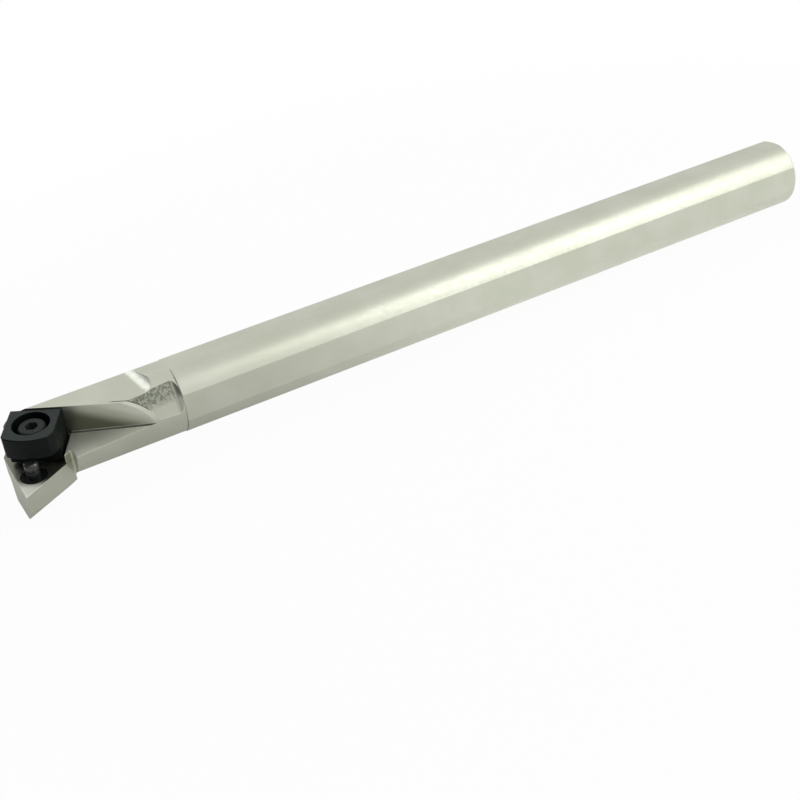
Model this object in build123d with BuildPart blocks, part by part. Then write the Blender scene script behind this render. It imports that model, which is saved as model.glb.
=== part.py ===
"""Internal boring bar for triangular inserts: right hand, 90 degree entry, wedge clamp.

The bar lies along X with its head at -X, its cutting side towards -Y and +Z up.  The
origin is the centre of the rear face, on the axis of the shank.  Millimetres, degrees.
"""
from build123d import *
from math import cos, radians, sin, sqrt, tan
import os

os.makedirs("parts", exist_ok=True)

# ---------------------------------------------------------------- shank and neck
overall_length = 250.0
shank_diameter = 20.0
flat_depth = 0.7              # of each of the three flats
rear_chamfer = 0.8

head_length = 45.0            # from the front face to the shoulder of the shank
neck_relief = 0.15            # the neck's surface lies this far inside the shank's
neck_cut_depth = 1.25         # chip clearance along the near upper side of the neck
neck_cut_angle = 24.0         # its direction, above the cutting side
neck_cut_slope = 2.0          # it gets shallower towards the head
neck_cut_land = 0.8           # full neck left behind the chip pocket's wall
neck_cut_runout = 2.2         # radius that its cutter leaves at the shoulder

# ---------------------------------------------------------------- head
nose_length = 14.5            # the flared nose that carries the insert
nose_step = 1.65              # its rear stands this far out of the neck
nose_step_fillet = 0.5
nose_flare_angle = 19.0       # of its cone, to the axis
nose_underside_step = 5.3     # its flat underside lies this far below the shank
nose_back = 5.0               # its reach past the axis, away from the cutting side
head_corner = 3.0             # steel kept beside the clamp, where its back corner is cut away

rake_angle = 8.0              # the seat leans this far towards the cutting side
head_top = 7.7                # height of the milled top, square to the seat
head_top_end = 9.75           # from the shoulder back to where that milling runs out
head_top_turn = 8.0           # its run-out lies a little across the bar
head_top_runout = 4.0

# ---------------------------------------------------------------- insert and its seat
insert_thickness = 4.76
insert_edge = 16.5
insert_angle = 60.0
corner_offset = 14.3          # seat corner from the axis, along the seat
corner_drop = 0.6             # the cutting corner lies this far below the axis
seat_inset = 0.4              # the seat's edges lie this far inside the insert's
side_wall_runout = 0.5        # radius behind the wall under the insert's side

chip_floor_height = 0.0       # above the axis at chip_floor_middle
chip_floor_middle = 25.0      # from the front face
chip_floor_slope = 3.4
chip_root_fillet = 0.6

# ---------------------------------------------------------------- wedge clamp
clamp_width = 13.2
clamp_top = 7.4
clamp_bulge_radius = 13.0
clamp_corner = 1.4            # chamfer of the lip beside the chip pocket
clamp_front_corner = 0.8      # and at the front, so that the clamp stays behind the insert
clamp_reach = 7.2             # from the screw's axis to the front of the lip
clamp_back_wall = 1.05        # steel left behind the counterbore
clamp_clearance = 0.1         # between the clamp's back and the wall it slides on
clamp_side_gap = 0.75         # between the clamp's side and the end of the pocket
clamp_edge_break = 0.25
lip_clearance = 0.25          # above the insert
wedge_gap = 0.1               # between the foot and the insert's back edge
foot_clearance = 0.8          # above the seat

# ---------------------------------------------------------------- clamp screw, M4
screw_diameter = 4.0
screw_length = 11.0
screw_setback = 2.5           # from the insert's back edge to the screw's axis
screw_head_diameter = 7.0
screw_head_height = 4.0
screw_head_drop = 0.8         # below the clamp's top
screw_head_chamfer = 0.35
socket_across_flats = 3.0
socket_depth = 2.2
counterbore_clearance = 1.35  # round the screw's head
clamp_hole_clearance = 0.25   # round the screw, in the clamp
thread_clearance = 0.05
thread_spare = 1.2            # hole left below the screw's end

# ---------------------------------------------------------------- locating pin
pin_diameter = 3.7
pin_waist_diameter = 3.1
pin_waist_height = 0.6
pin_cap_height = 1.7
pin_chamfer = 0.4
pin_top_gap = 0.45            # below the top of the insert
pin_flange_diameter = 6.7
pin_flange_thickness = 1.0
pin_flange_sink = 0.15        # below the seat
pin_stem_diameter = 4.5
pin_stem_length = 4.0
pin_clearance = 0.1           # round the flange
stem_clearance = 0.05         # round the stem

# ---------------------------------------------------------------- worked out from the above
shank_radius = shank_diameter / 2
neck_radius = shank_radius - neck_relief
flat_distance = shank_radius - flat_depth
neck_cut_distance = shank_radius - neck_cut_depth
front = -overall_length
shoulder = front + head_length
far = 3 * shank_diameter      # reach of a cutter that runs right out of the bar

rise = sin(radians(rake_angle))
run = cos(radians(rake_angle))
seat_height = (corner_offset * rise - corner_drop) / run - insert_thickness
insert_top = seat_height + insert_thickness
insert_height = insert_edge * sin(radians(insert_angle))
insert_circle = insert_edge / (2 * sqrt(3))
counterbore_radius = screw_head_diameter / 2 + counterbore_clearance

# Places along the insert's bisector, from the seat's corner towards the clamp.
apex = -seat_inset / sin(radians(insert_angle / 2))
pin_place = apex + 2 * insert_circle
back_edge = apex + insert_height
screw_place = back_edge + screw_setback
clamp_back = screw_place + counterbore_radius + clamp_back_wall
pocket_wall = clamp_back + clamp_clearance

# Heights above the axis, square to the seat.
lip_underside = insert_top + lip_clearance
foot_bottom = seat_height + foot_clearance
screw_head_top = clamp_top - screw_head_drop
counterbore_floor = screw_head_top - screw_head_height
screw_end = counterbore_floor - screw_length
flange_top = seat_height - pin_flange_sink
flange_bottom = flange_top - pin_flange_thickness
stem_end = flange_bottom - pin_stem_length
pin_top = insert_top - pin_top_gap

# Head frame: on the axis at the front face, x along the bar, z square to the seat.
head = Plane(origin=(front, 0, 0), x_dir=(1, 0, 0), z_dir=(0, -rise, run))
# Insert frame: under the seat's corner, y along the insert's bisector.
square_to_seat = Axis((0, 0, 0), head.z_dir)
seat_corner = head.from_local_coords((0, -corner_offset, 0))
across_bisector = head.x_dir.rotate(square_to_seat, -insert_angle / 2)
insert = Plane(seat_corner, x_dir=across_bisector, z_dir=head.z_dir)
screw_axis = Plane(insert.from_local_coords((0, screw_place, 0)), insert.x_dir, insert.z_dir)
pin_axis = Plane(insert.from_local_coords((0, pin_place, 0)), insert.x_dir, insert.z_dir)

# ---------------------------------------------------------------- flared nose
nose_rear = front + nose_length
nose_rear_radius = neck_radius + nose_step
nose_front_radius = nose_rear_radius + nose_length * tan(radians(nose_flare_angle))
nose_root = nose_rear + nose_step_fillet
nose_underside = shank_radius + nose_underside_step
with BuildPart() as nose:
    with BuildSketch(Plane.XZ):
        with BuildLine():
            Polyline(
                (front, 0),
                (front, nose_front_radius),
                (nose_rear, nose_rear_radius),
                (nose_rear, neck_radius + nose_step_fillet),
            )
            CenterArc((nose_root, neck_radius + nose_step_fillet), nose_step_fillet, 180, 90)
            Polyline((nose_root, neck_radius), (nose_root, 0), (front, 0))
        make_face()
    revolve(axis=Axis.X)
    # The flare stays only below the seat, over a flat underside and beside a flat back.
    with BuildSketch(Plane.YZ.offset(front)):
        with BuildLine():
            Polyline(
                (-far, 0),
                (-far, -nose_underside),
                (nose_back, -nose_underside),
                (nose_back, 0),
                close=True,
            )
        make_face()
    extrude(amount=nose_length + nose_step_fillet, mode=Mode.INTERSECT)

# ---------------------------------------------------------------- chip clearance along the neck
neck_normal = Vector(0, -cos(radians(neck_cut_angle)), sin(radians(neck_cut_angle)))
across_cut = Vector(1, 0, 0).cross(neck_normal)
runout_start = -sqrt(neck_cut_runout**2 - (neck_cut_runout - neck_cut_depth) ** 2)
neck_cut_rise = (head_length + runout_start) * tan(radians(neck_cut_slope))
with BuildPart() as neck_cut:
    with BuildSketch(Plane((shoulder, 0, 0), x_dir=(1, 0, 0), z_dir=across_cut)):
        with BuildLine():
            Line((-head_length, neck_cut_distance + neck_cut_rise), (runout_start, neck_cut_distance))
            RadiusArc(
                (runout_start, neck_cut_distance),
                (runout_start + neck_cut_runout, neck_cut_distance + neck_cut_runout),
                -neck_cut_runout,
            )
            Polyline(
                (runout_start + neck_cut_runout, neck_cut_distance + neck_cut_runout),
                (runout_start + neck_cut_runout, far),
                (-head_length, far),
                (-head_length, neck_cut_distance + neck_cut_rise),
            )
        make_face()
    extrude(amount=far, both=True)
    # It starts a little behind the wall of the chip pocket, parallel to it.
    land = Plane(
        insert.from_local_coords((0, pocket_wall + neck_cut_land, 0)),
        x_dir=insert.x_dir,
        z_dir=insert.y_dir,
    )
    split(bisect_by=land, keep=Keep.TOP)

# ---------------------------------------------------------------- chip pocket, cut from above
with BuildPart() as chip_pocket:
    with BuildSketch(insert.offset(-far / 2)):
        with Locations((0, pocket_wall)):
            Rectangle(2 * far, far, align=(Align.CENTER, Align.MAX))
    extrude(amount=far)
    floor_point = head.from_local_coords((chip_floor_middle, 0, chip_floor_height))
    across_slope = Axis((0, 0, 0), head.y_dir)
    floor_slope = Plane(
        floor_point,
        x_dir=head.x_dir.rotate(across_slope, -chip_floor_slope),
        z_dir=head.z_dir.rotate(across_slope, -chip_floor_slope),
    )
    split(bisect_by=floor_slope, keep=Keep.TOP)
    floor_edges = chip_pocket.faces().sort_by(Axis(head.origin, head.z_dir))[0].edges()
    root = floor_edges.sort_by(Axis(insert.origin, insert.y_dir))[-1]
    fillet(root, radius=chip_root_fillet)

# ---------------------------------------------------------------- bar body, one piece of steel
with BuildPart() as bar:
    with BuildSketch(Plane.XZ):
        with BuildLine():
            Polyline(
                (front, 0),
                (front, neck_radius),
                (shoulder, neck_radius),
                (shoulder, shank_radius),
                (-rear_chamfer, shank_radius),
                (0, shank_radius - rear_chamfer),
                (0, 0),
                close=True,
            )
        make_face()
    revolve(axis=Axis.X)

    add(neck_cut.part, mode=Mode.SUBTRACT)
    add(nose.part)

    # Flats: the top one runs the whole length, the side and bottom ones end at the shoulder.
    with BuildSketch(Plane.YZ):
        with Locations((0, flat_distance)):
            Rectangle(far, far, align=(Align.CENTER, Align.MIN))
    extrude(amount=front, mode=Mode.SUBTRACT)
    with BuildSketch(Plane.YZ):
        with Locations((-flat_distance, 0)):
            Rectangle(far, far, align=(Align.MAX, Align.CENTER))
        with Locations((0, -flat_distance)):
            Rectangle(far, far, align=(Align.CENTER, Align.MAX))
    extrude(amount=shoulder, mode=Mode.SUBTRACT)

    # Top of the head, milled parallel to the seat and running out in a concave curve.
    top_end = head.from_local_coords((head_length - head_top_end, 0, 0))
    along_top = head.x_dir.rotate(square_to_seat, head_top_turn)
    with BuildSketch(Plane(top_end, x_dir=along_top, z_dir=along_top.cross(head.z_dir))):
        with BuildLine():
            Line((-2 * head_length, head_top), (0, head_top))
            RadiusArc((0, head_top), (head_top_runout, head_top + head_top_runout), -head_top_runout)
            Polyline(
                (head_top_runout, head_top + head_top_runout),
                (head_top_runout, far),
                (-2 * head_length, far),
                (-2 * head_length, head_top),
            )
        make_face()
    extrude(amount=far, both=True, mode=Mode.SUBTRACT)

    add(chip_pocket.part, mode=Mode.SUBTRACT)

    # Insert seat and clamp pocket: one floor, open to the front and to the cutting side.
    with BuildSketch(insert.offset(seat_height)):
        with Locations((clamp_width / 2 + clamp_side_gap, pocket_wall)):
            Rectangle(far, far, align=(Align.MAX, Align.MAX))
    extrude(amount=far, mode=Mode.SUBTRACT)

    # Back corner of the head, cut away alongside the clamp.
    with BuildSketch(insert.offset(-far)):
        with Locations((-clamp_width / 2 - head_corner, 0)):
            Rectangle(far, 2 * far, align=(Align.MAX, Align.CENTER))
    extrude(amount=2 * far, mode=Mode.SUBTRACT)

    # Wall under the insert's side edge, from the front to the root of the nose.
    side_slope = tan(radians(90 - insert_angle))
    with BuildSketch(head) as side:
        with BuildLine():
            Polyline(
                (-far, -corner_offset - far * side_slope),
                (nose_root - front, -corner_offset + (nose_root - front) * side_slope),
                (nose_root - front, -2 * far),
                (-far, -2 * far),
                close=True,
            )
        make_face()
        fillet(side.vertices().sort_by(Axis.Y)[-1], radius=side_wall_runout)
    extrude(amount=far, both=True, mode=Mode.SUBTRACT)

    # Tapped hole for the clamp screw, and the stepped hole for the pin.
    with BuildSketch(screw_axis.offset(screw_end - thread_spare)):
        Circle(screw_diameter / 2 + thread_clearance)
    extrude(amount=far, mode=Mode.SUBTRACT)
    with BuildSketch(pin_axis.offset(flange_bottom)):
        Circle(pin_flange_diameter / 2 + pin_clearance)
    extrude(amount=far, mode=Mode.SUBTRACT)
    with BuildSketch(pin_axis.offset(stem_end - stem_clearance)):
        Circle(pin_stem_diameter / 2 + stem_clearance)
    extrude(amount=pin_flange_thickness + pin_stem_length, mode=Mode.SUBTRACT)

bar.part.label = "bar_body"
export_step(bar.part, "parts/bar_body.step")

# ---------------------------------------------------------------- wedge clamp
half_width = clamp_width / 2
bulge_rise = clamp_bulge_radius - sqrt(clamp_bulge_radius**2 - half_width**2)
lip_corner = -clamp_reach + bulge_rise
back = clamp_back - screw_place
foot_front = wedge_gap - screw_setback
with BuildPart() as clamp:
    with BuildSketch(screw_axis.offset(lip_underside)) as lip:
        with BuildLine():
            Polyline(
                (-half_width, lip_corner),
                (-half_width, back),
                (half_width, back),
                (half_width, lip_corner),
            )
            ThreePointArc((half_width, lip_corner), (0, -clamp_reach), (-half_width, lip_corner))
        make_face()
        chamfer(lip.vertices().sort_by(Axis((0, 0, 0), (1, -1, 0)))[-1], length=clamp_corner)
        chamfer(lip.vertices().sort_by(Axis((0, 0, 0), (-1, -1, 0)))[-1], length=clamp_front_corner)
    extrude(amount=clamp_top - lip_underside)
    # The foot fills the pocket between the insert's back edge and the wall.
    with BuildSketch(screw_axis.offset(foot_bottom)):
        with Locations((0, back)):
            Rectangle(clamp_width, back - foot_front, align=(Align.CENTER, Align.MAX))
    extrude(amount=clamp_top - foot_bottom)
    outline = clamp.faces().sort_by(Axis(head.origin, head.z_dir))[-1].edges()
    chamfer(outline, length=clamp_edge_break)
    with BuildSketch(screw_axis.offset(counterbore_floor)):
        Circle(counterbore_radius)
    extrude(amount=far, mode=Mode.SUBTRACT)
    with BuildSketch(screw_axis.offset(foot_bottom)):
        Circle(screw_diameter / 2 + clamp_hole_clearance)
    extrude(amount=far, mode=Mode.SUBTRACT)

clamp.part.label = "wedge_clamp"
export_step(clamp.part, "parts/wedge_clamp.step")

# ---------------------------------------------------------------- clamp screw
with BuildPart() as screw:
    with BuildSketch(screw_axis.offset(counterbore_floor)):
        Circle(screw_head_diameter / 2)
    extrude(amount=screw_head_height)
    rim = screw.faces().sort_by(Axis(head.origin, head.z_dir))[-1].edges()
    chamfer(rim, length=screw_head_chamfer)
    with BuildSketch(screw_axis.offset(counterbore_floor)):
        Circle(screw_diameter / 2)
    extrude(amount=-screw_length)
    tip = screw.faces().sort_by(Axis(head.origin, head.z_dir))[0].edges()
    chamfer(tip, length=screw_head_chamfer)
    with BuildSketch(screw_axis.offset(screw_head_top)):
        RegularPolygon(socket_across_flats / 2, side_count=6, major_radius=False)
    extrude(amount=-socket_depth, mode=Mode.SUBTRACT)

screw.part.label = "clamp_screw"
export_step(screw.part, "parts/clamp_screw.step")

# ---------------------------------------------------------------- locating pin
cap_bottom = pin_top - pin_cap_height
waist_bottom = cap_bottom - pin_waist_height
with BuildPart() as pin:
    with BuildSketch(Plane(pin_axis.origin, pin_axis.x_dir, -pin_axis.y_dir)):
        with BuildLine():
            Polyline(
                (0, stem_end),
                (pin_stem_diameter / 2, stem_end),
                (pin_stem_diameter / 2, flange_bottom),
                (pin_flange_diameter / 2, flange_bottom),
                (pin_flange_diameter / 2, flange_top),
                (pin_diameter / 2, flange_top),
                (pin_diameter / 2, waist_bottom),
                (pin_waist_diameter / 2, waist_bottom),
                (pin_waist_diameter / 2, cap_bottom),
                (pin_diameter / 2, cap_bottom),
                (pin_diameter / 2, pin_top - pin_chamfer),
                (pin_diameter / 2 - pin_chamfer, pin_top),
                (0, pin_top),
                close=True,
            )
        make_face()
    revolve(axis=Axis(pin_axis.origin, pin_axis.z_dir))

pin.part.label = "locating_pin"
export_step(pin.part, "parts/locating_pin.step")
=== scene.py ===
from math import cos, pi, radians, sin, tan

import bpy
from mathutils import Matrix, Vector

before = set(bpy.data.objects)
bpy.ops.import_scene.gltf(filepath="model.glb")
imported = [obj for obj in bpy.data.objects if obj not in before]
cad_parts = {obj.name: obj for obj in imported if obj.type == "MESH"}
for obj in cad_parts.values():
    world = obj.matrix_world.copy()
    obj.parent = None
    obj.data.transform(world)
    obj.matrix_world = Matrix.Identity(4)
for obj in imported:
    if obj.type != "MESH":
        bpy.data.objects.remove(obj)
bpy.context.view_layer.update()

MM = 0.001

# ---------------------------------------------------------------- sizes that the looks follow, in mm
SHANK_RADIUS = 10.0
NECK_RADIUS = 9.85
SHOULDER = -205.0                 # where the shank ends and the neck begins
NECK_CUT_DISTANCE = 8.75          # of the milled neck from the axis, where its run-out starts
NECK_CUT_END = -206.98            # that place along the bar
NECK_CUT_ANGLE = 24.0
NECK_CUT_SLOPE = 2.0
RAKE = 8.0                        # lean of the head towards the cutting side
SEAT_HEIGHT = -3.36               # square to the seat, above the axis
SEAT_BACK = 8.6                   # where the seat ends, across the bar
SEAT_CORNER = (-250.0, -14.16, -1.99)
BISECTOR = (0.5, 0.8576, 0.1205)  # from the seat's corner towards the clamp
POCKET_WALL = 21.99               # the clamp's back wall, along the bisector
CLAMP_BACK = -232.0               # where the clamp covers the chip pocket's wall, along the bar
SIDE_WALL_END = -235.0            # of the nose's wall under the seat, along the bar
HEAD_TOP = 7.7                    # square to the seat, above the axis
HEAD_TOP_END = -215.0             # where its milling starts to run out, along the bar
TOP_FLAT = 9.3                    # above the axis
PIN_CAP = -1.7                    # underside of the pin's cap, square to the seat
CLAMP_TOP = 7.4                   # square to the seat, above the axis
CHIP_FLOOR = (-0.0593, -0.1389, 0.9885)
CHIP_FLOOR_DISTANCE = 13.345      # from the origin, along that normal

# ---------------------------------------------------------------- camera, fitted to the photograph
CAMERA_PLACE = Vector((-285.01, -316.58, 164.57)) * MM
CAMERA_AZIMUTH = 24.47            # from +Y towards +X
CAMERA_DROP = 28.85               # below level
CAMERA_ROLL = -9.39
FOCAL_PIXELS = 1381.3             # in a frame of 800 pixels
FRAME_PIXELS = 800
SENSOR_WIDTH = 36.0


def add_camera():
    """The photograph's camera: its place, its direction and its roll, with no shift."""
    azimuth, drop, roll = radians(CAMERA_AZIMUTH), radians(CAMERA_DROP), radians(CAMERA_ROLL)
    forward = Vector((sin(azimuth) * cos(drop), cos(azimuth) * cos(drop), -sin(drop)))
    level = Vector((cos(azimuth), -sin(azimuth), 0))
    upright = level.cross(forward)
    right = cos(roll) * level + sin(roll) * upright
    up = -sin(roll) * level + cos(roll) * upright
    data = bpy.data.cameras.new("camera")
    data.sensor_width = SENSOR_WIDTH
    data.lens = FOCAL_PIXELS * SENSOR_WIDTH / FRAME_PIXELS
    data.clip_start = 0.01
    data.clip_end = 20
    camera = bpy.data.objects.new("camera", data)
    turn = Matrix((right, up, -forward)).transposed().to_4x4()
    camera.matrix_world = Matrix.Translation(CAMERA_PLACE) @ turn
    bpy.context.scene.collection.objects.link(camera)
    bpy.context.scene.camera = camera


# ---------------------------------------------------------------- node helpers
def node(tree, kind, values=None, **settings):
    """A shader node. A value is a plain value, or another node's socket to link from."""
    made = tree.nodes.new(kind)
    for name, value in settings.items():
        setattr(made, name, value)
    for name, value in (values or {}).items():
        socket = made.inputs[name]
        if isinstance(value, bpy.types.NodeSocket):
            tree.links.new(value, socket)
        else:
            socket.default_value = value
    return made


def calc(tree, operation, *values):
    """One step of arithmetic on numbers or sockets."""
    return node(tree, "ShaderNodeMath", dict(enumerate(values)), operation=operation).outputs[0]


def product(tree, *values):
    """Masks of 0 to 1, multiplied in turn."""
    result = values[0]
    for value in values[1:]:
        result = calc(tree, "MULTIPLY", result, value)
    return result


def within(tree, value, target, tolerance):
    """1 where a value lies near a target."""
    return calc(tree, "COMPARE", value, target, tolerance)


def vector_calc(tree, operation, a, b, output="Vector"):
    return node(tree, "ShaderNodeVectorMath", {0: a, 1: b}, operation=operation).outputs[output]


def ramp(tree, value, low, high, start=0.0, end=1.0):
    """A smooth step: start below low, end above high."""
    values = {"Value": value, "From Min": low, "From Max": high, "To Min": start, "To Max": end}
    made = node(tree, "ShaderNodeMapRange", values, interpolation_type="SMOOTHSTEP")
    return made.outputs[0]


def blend_colours(tree, share, first, second):
    made = node(tree, "ShaderNodeMix", {"Factor": share}, data_type="RGBA")
    for socket, value in ((made.inputs[6], first), (made.inputs[7], second)):
        if isinstance(value, bpy.types.NodeSocket):
            tree.links.new(value, socket)
        else:
            socket.default_value = (*value, 1)
    return made.outputs[2]


def noise(tree, place, scale, detail=2.0, roughness=0.5):
    values = {"Vector": place, "Scale": scale, "Detail": detail, "Roughness": roughness}
    return node(tree, "ShaderNodeTexNoise", values).outputs[0]


def new_material(name):
    """An empty material, its place in mm in the piece's own frame, and its surface shader."""
    made = bpy.data.materials.new(name)
    made.use_nodes = True
    tree = made.node_tree
    tree.nodes.clear()
    metres = node(tree, "ShaderNodeTexCoord").outputs["Object"]
    place = vector_calc(tree, "MULTIPLY", metres, (1 / MM, 1 / MM, 1 / MM))
    shader = node(tree, "ShaderNodeBsdfPrincipled")
    node(tree, "ShaderNodeOutputMaterial", {"Surface": shader.outputs[0]})
    return made, tree, place, shader


def bump(tree, height, distance, normal):
    """Relief from a height of 0 to 1, over a distance in mm, on top of a normal."""
    values = {"Height": height, "Distance": distance * MM, "Strength": 1.0, "Normal": normal}
    return node(tree, "ShaderNodeBump", values).outputs[0]


# ---------------------------------------------------------------- materials
def head_height(tree, place):
    """Height above the axis in mm, square to the insert's seat."""
    angle = radians(RAKE)
    return vector_calc(tree, "DOT_PRODUCT", place, (0, -sin(angle), cos(angle)), "Value")


def nickel_plated_steel():
    """Satin nickel over ground flats, a turned round and a roughly milled head and neck."""
    made, tree, place, shader = new_material("nickel_plated_steel")
    x, y, z = node(tree, "ShaderNodeSeparateXYZ", {0: place}).outputs
    height = head_height(tree, place)

    radius = calc(tree, "SQRT", calc(tree, "ADD", product(tree, y, y), product(tree, z, z)))
    turned = calc(tree, "MAXIMUM", within(tree, radius, SHANK_RADIUS, 0.07),
                  within(tree, radius, NECK_RADIUS, 0.07))
    on_head = ramp(tree, x, SHOULDER - 0.3, SHOULDER, 1, 0)
    from_corner = vector_calc(tree, "SUBTRACT", place, SEAT_CORNER)
    along = vector_calc(tree, "DOT_PRODUCT", from_corner, BISECTOR, "Value")

    # The neck's chip clearance: its flat, and its run-out at the shoulder, with painted shade on the
    # run-out's upper crescent and painted light on the rest of it.
    angle, slope = radians(NECK_CUT_ANGLE), tan(radians(NECK_CUT_SLOPE))
    towards_cut = vector_calc(tree, "DOT_PRODUCT", place, (0, -cos(angle), sin(angle)), "Value")
    flat_there = calc(tree, "MULTIPLY_ADD", x, -slope, NECK_CUT_DISTANCE + NECK_CUT_END * slope)
    off_head_top = calc(tree, "MAXIMUM", ramp(tree, height, HEAD_TOP - 0.1, HEAD_TOP - 0.02, 1, 0),
                        ramp(tree, x, HEAD_TOP_END, HEAD_TOP_END + 1))
    on_cut = product(tree, within(tree, towards_cut, flat_there, 0.07),
                     product(tree, on_head, calc(tree, "SUBTRACT", 1, turned)),
                     product(tree, ramp(tree, along, POCKET_WALL + 0.7, POCKET_WALL + 0.8), off_head_top))
    runout = product(tree, ramp(tree, x, NECK_CUT_END + 0.6, SHOULDER - 0.5), on_head,
                     ramp(tree, radius, NECK_RADIUS - 0.04, NECK_RADIUS, 1, 0),
                     ramp(tree, towards_cut, 8.6, 8.75))
    # Painted shade: the run-out's upper crescent darker, where it curves in at the shoulder.
    shaded_crescent = product(tree, runout, ramp(tree, z, 2.8, 4.8))
    # Painted light: the rest of the run-out, lightened.
    lit_runout = calc(tree, "SUBTRACT", runout, shaded_crescent)
    groove = product(tree, within(tree, x, SHOULDER - 0.1, 0.16), ramp(tree, y, -4, -7),
                     ramp(tree, radius, NECK_RADIUS - 0.1, NECK_RADIUS - 0.05))

    # The seat, painted dark for the shade and reflection of the clamp over it, with painted light at its
    # open corner.
    on_seat = product(tree, within(tree, height, SEAT_HEIGHT, 0.06),
                      ramp(tree, x, SIDE_WALL_END + 0.05, SIDE_WALL_END + 0.15, 1, 0),
                      ramp(tree, y, SEAT_BACK, SEAT_BACK + 0.1, 1, 0))
    lit_corner = product(tree, on_seat, ramp(tree, along, 3.5, 8.0, 1, 0))

    # The chip pocket: its root, its floor and its wall, and the wall's far edge at the neck.
    above_floor = vector_calc(tree, "DOT_PRODUCT", place, CHIP_FLOOR, "Value")
    above_floor = calc(tree, "SUBTRACT", above_floor, CHIP_FLOOR_DISTANCE)
    # Painted shade along the root, in the corner of the pocket's floor and wall.
    root_shade = product(tree, within(tree, above_floor, 0.12, 0.14),
                      within(tree, along, POCKET_WALL - 0.2, 0.35))
    on_floor = product(tree, within(tree, above_floor, 0, 0.04),
                       ramp(tree, along, POCKET_WALL - 0.5, POCKET_WALL - 0.4, 1, 0),
                       ramp(tree, y, 4, 5, 1, 0))
    on_wall = product(tree, within(tree, along, POCKET_WALL, 0.04), ramp(tree, above_floor, -0.3, 0))
    from_clamp = calc(tree, "MULTIPLY_ADD", calc(tree, "ADD", x, -CLAMP_BACK), 0.45, above_floor)
    cut_start = product(tree, within(tree, along, POCKET_WALL + 0.85, 0.16),
                        product(tree, ramp(tree, z, 2.4, 3.6), ramp(tree, y, -4.5, -5.5)))

    # The milling of the head's top ends in a hollow, with a painted highlight on it.
    hollow_highlight = product(tree, ramp(tree, height, HEAD_TOP + 0.02, HEAD_TOP + 0.2), ramp(tree, along, 27, 28),
                     ramp(tree, radius, NECK_RADIUS - 0.12, NECK_RADIUS - 0.06, 1, 0),
                     ramp(tree, z, TOP_FLAT - 0.2, TOP_FLAT - 0.05, 1, 0), on_head,
                     ramp(tree, towards_cut, 8.4, 8.6, 1, 0))

    # Relief: turning rings, grinding lines and the torn neck cut.
    rings = noise(tree, vector_calc(tree, "MULTIPLY", place, (14, 0.2, 0.2)), 1.0, 3)
    grinding = noise(tree, vector_calc(tree, "MULTIPLY", place, (0.12, 9, 9)), 1.0, 3)
    grain = noise(tree, place, 6.0, 3)
    marks = node(tree, "ShaderNodeMix", {0: turned, 2: grinding, 3: rings}).outputs[0]
    marks = calc(tree, "ADD", product(tree, marks, 0.5), product(tree, grain, 0.5))
    streaks = noise(tree, vector_calc(tree, "MULTIPLY", place, (1.1, 1.6, 1.2)), 1.0, 4, 0.7)
    torn = product(tree, on_cut, ramp(tree, z, 2.2, 4.4))
    edges = node(tree, "ShaderNodeBevel", {"Radius": 0.2 * MM}, samples=6).outputs[0]
    fine = bump(tree, marks, 0.010, edges)
    tree.links.new(bump(tree, product(tree, streaks, torn), 0.5, fine), shader.inputs["Normal"])

    cloud = ramp(tree, noise(tree, place, 0.09, 4), 0.35, 0.7)
    stain = ramp(tree, noise(tree, place, 0.5, 5, 0.7), 0.66, 0.8, 0, 0.25)
    pits = product(tree, ramp(tree, streaks, 0.42, 0.60, 0.12, 0.70), torn)
    # Painted reflection of the black clamp: the pocket's wall darker towards the clamp.
    clamp_reflection = product(tree, on_wall, ramp(tree, from_clamp, 5, 9, 0.85, 0))
    # Painted light: the chip floor, the far end of the pocket's wall and the lower run-out lighter.
    lit_patches = calc(tree, "MAXIMUM", on_floor, product(tree, on_wall, ramp(tree, from_clamp, 9, 11)))
    lit_patches = calc(tree, "MAXIMUM", lit_patches, lit_runout)
    colour = blend_colours(tree, cloud, (0.612, 0.635, 0.522), (0.655, 0.675, 0.568))
    # Colours laid over in turn, among them the painted shade, reflection and light of the masks above.
    for mask, strength, tint in (
            (stain, 1, (0.38, 0.39, 0.32)), (on_cut, 0.4, (0.38, 0.39, 0.32)),
            (pits, 1, (0.13, 0.15, 0.11)), (cut_start, 0.9, (0.04, 0.045, 0.03)),
            (clamp_reflection, 1, (0.12, 0.12, 0.085)), (lit_patches, 0.7, (0.84, 0.85, 0.74)),
            (hollow_highlight, 0.8, (0.90, 0.93, 0.84)), (shaded_crescent, 0.8, (0.17, 0.18, 0.145)),
            (groove, 0.5, (0.15, 0.16, 0.12)), (root_shade, 0.85, (0.07, 0.075, 0.055)),
            (on_seat, 1, (0.24, 0.24, 0.20)), (lit_corner, 1, (0.95, 0.96, 0.85))):
        colour = blend_colours(tree, product(tree, mask, strength), colour, tint)
    tree.links.new(colour, shader.inputs["Base Color"])

    satin = ramp(tree, noise(tree, place, 0.8, 3), 0.3, 0.7, 0.34, 0.42)
    satin = calc(tree, "ADD", satin, product(tree, on_cut, 0.12))
    tree.links.new(satin, shader.inputs["Roughness"])
    dull = product(tree, on_floor, ramp(tree, x, -230, -216, 0.3, 0.9))
    dull = calc(tree, "MAXIMUM", dull, product(tree, lit_runout, 0.6))
    dull = calc(tree, "MAXIMUM", dull, calc(tree, "MAXIMUM", lit_corner, product(tree, hollow_highlight, 0.6)))
    tree.links.new(calc(tree, "MULTIPLY_ADD", dull, -0.7, 0.95), shader.inputs["Metallic"])
    return made


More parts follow.
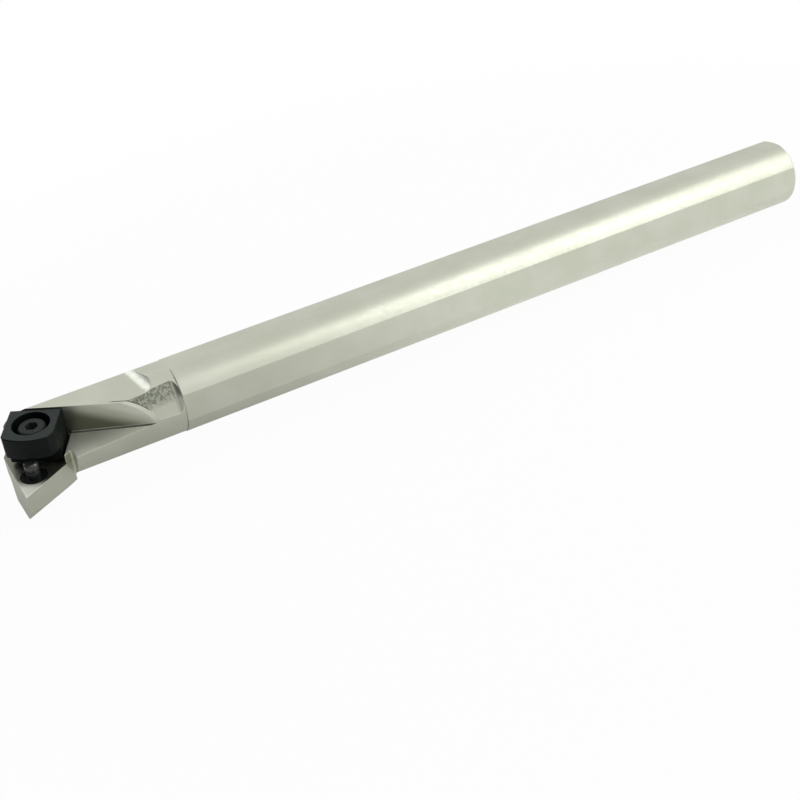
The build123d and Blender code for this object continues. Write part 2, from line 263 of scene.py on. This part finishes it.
def black_oxide(name, dark, light, roughness, lit_top_height=None):
    """Black oxide on steel: near black, with a fine dusty grain, and its top painted lighter as lit from
    above.
    """
    made, tree, place, shader = new_material(name)
    grain = noise(tree, place, 5.0, 4, 0.6)
    colour = blend_colours(tree, ramp(tree, grain, 0.35, 0.7), dark, light)
    if lit_top_height is not None:
        # Painted light: the top face lighter, as lit from above.
        top_light = ramp(tree, head_height(tree, place), lit_top_height - 0.06, lit_top_height - 0.02, 0, 0.65)
        colour = blend_colours(tree, top_light, colour, (0.040, 0.054, 0.050))
    tree.links.new(colour, shader.inputs["Base Color"])
    matt = ramp(tree, noise(tree, place, 1.5, 3), 0.3, 0.7, roughness - 0.05, roughness + 0.07)
    tree.links.new(matt, shader.inputs["Roughness"])
    edges = node(tree, "ShaderNodeBevel", {"Radius": 0.08 * MM}, samples=6).outputs[0]
    tree.links.new(bump(tree, grain, 0.02, edges), shader.inputs["Normal"])
    shader.inputs["Specular IOR Level"].default_value = 0.13
    return made


def pin_steel():
    """Hardened pin: worn bright cap over a dark base."""
    made, tree, place, shader = new_material("pin_steel")
    cap = ramp(tree, head_height(tree, place), PIN_CAP, PIN_CAP + 0.3)
    wear = ramp(tree, noise(tree, place, 2.5, 4), 0.35, 0.65)
    bright = product(tree, cap, wear)
    colour = blend_colours(tree, bright, (0.006, 0.007, 0.007), (0.13, 0.14, 0.13))
    tree.links.new(colour, shader.inputs["Base Color"])
    tree.links.new(bright, shader.inputs["Metallic"])
    shader.inputs["Roughness"].default_value = 0.32
    return made


def paint(name, made):
    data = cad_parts[name].data
    data.materials.clear()
    data.materials.append(made)


# ---------------------------------------------------------------- floor, backdrop and light
def seen_directly(tree, mirrored):
    """1 for what the camera sees, straight or through glass, and a share of it in metal."""
    path = node(tree, "ShaderNodeLightPath").outputs
    seen = calc(tree, "MAXIMUM", path["Is Camera Ray"], path["Is Transmission Ray"])
    return calc(tree, "MAXIMUM", seen, product(tree, path["Is Glossy Ray"], mirrored))


def add_floor():
    """A white floor under the bar as it rests: on its nose and on the end of its bottom flat."""
    points = [vertex.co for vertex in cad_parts["bar_body"].data.vertices]
    tail = min((p for p in points if p.x > -2 * MM), key=lambda p: (p.z, -p.x))
    slope = max((tail.z - p.z) / (tail.x - p.x) for p in points if p.x < -0.2)
    half = 3.0
    corners = [(-half, -half), (half, -half), (half, half), (-half, half)]
    mesh = bpy.data.meshes.new("floor")
    mesh.from_pydata([(u, v, tail.z + slope * (u - tail.x)) for u, v in corners], [], [(0, 1, 2, 3)])
    floor = bpy.data.objects.new("floor", mesh)
    bpy.context.scene.collection.objects.link(floor)

    made = bpy.data.materials.new("floor")
    made.use_nodes = True
    tree = made.node_tree
    tree.nodes.clear()
    metres = node(tree, "ShaderNodeTexCoord").outputs["Object"]
    from_middle = vector_calc(tree, "DISTANCE", metres, (-0.125, 0, 0), "Value")
    from_head = vector_calc(tree, "DISTANCE", metres, (-0.24, 0, 0), "Value")
    mirrored = ramp(tree, from_head, 0.03, 0.15, 0.25, 1.0)
    plain = product(tree, seen_directly(tree, mirrored), ramp(tree, from_middle, 0.15, 0.3, 0.95, 1.0))
    shade = blend_colours(tree, seen_directly(tree, 0), (0.6, 0.6, 0.6), (0.9, 0.9, 0.9))
    paper = node(tree, "ShaderNodeBsdfDiffuse", {"Color": shade})
    white = node(tree, "ShaderNodeEmission", {"Color": (1, 1, 1, 1), "Strength": 1.0})
    mixed = node(tree, "ShaderNodeMixShader", {0: plain, 1: paper.outputs[0], 2: white.outputs[0]})
    node(tree, "ShaderNodeOutputMaterial", {"Surface": mixed.outputs[0]})
    mesh.materials.append(made)


def add_world():
    """A white studio that is darker on the head's side, away from the lamps."""
    world = bpy.data.worlds.new("studio")
    world.use_nodes = True
    tree = world.node_tree
    tree.nodes.clear()
    direction = node(tree, "ShaderNodeTexCoord").outputs["Generated"]
    x = node(tree, "ShaderNodeSeparateXYZ", {0: direction}).outputs[0]
    room = ramp(tree, x, -0.7, 0.0, 0.17, 0.81)
    strength = node(tree, "ShaderNodeMix", {0: seen_directly(tree, 0), 2: room, 3: 1.0}).outputs[0]
    background = node(tree, "ShaderNodeBackground", {"Color": (1, 1, 1, 1), "Strength": strength})
    node(tree, "ShaderNodeOutputWorld", {"Surface": background.outputs[0]})
    bpy.context.scene.world = world


def add_softbox(name, aim, direction, distance, size, radiance):
    """A square lamp that shines from a direction, as seen from aim."""
    data = bpy.data.lights.new(name, "AREA")
    data.shape = "RECTANGLE"
    data.size, data.size_y = size
    data.energy = radiance * pi * size[0] * size[1]
    lamp = bpy.data.objects.new(name, data)
    towards = Vector(direction).normalized()
    turn = towards.to_track_quat("Z", "Y").to_matrix().to_4x4()
    lamp.matrix_world = Matrix.Translation(Vector(aim) + towards * distance) @ turn
    bpy.context.scene.collection.objects.link(lamp)


def add_lights():
    add_softbox("key", (0, 0, 0), (0.40, -0.63, 0.66), 0.42, (0.38, 0.34), 1.45)
    add_softbox("back", (-0.2, 0, 0), (-0.38, 0.70, 0.60), 0.8, (0.4, 0.4), 1.65)
    bpy.context.scene.view_settings.view_transform = "Standard"


# ---------------------------------------------------------------- build
add_camera()
paint("bar_body", nickel_plated_steel())
paint("wedge_clamp", black_oxide("black_oxide_steel", (0.002, 0.003, 0.003), (0.008, 0.012, 0.012), 0.42,
                                 CLAMP_TOP))
paint("clamp_screw", black_oxide("screw_steel", (0.014, 0.017, 0.016), (0.036, 0.042, 0.040), 0.40))
paint("locating_pin", pin_steel())
add_floor()
add_world()
add_lights()
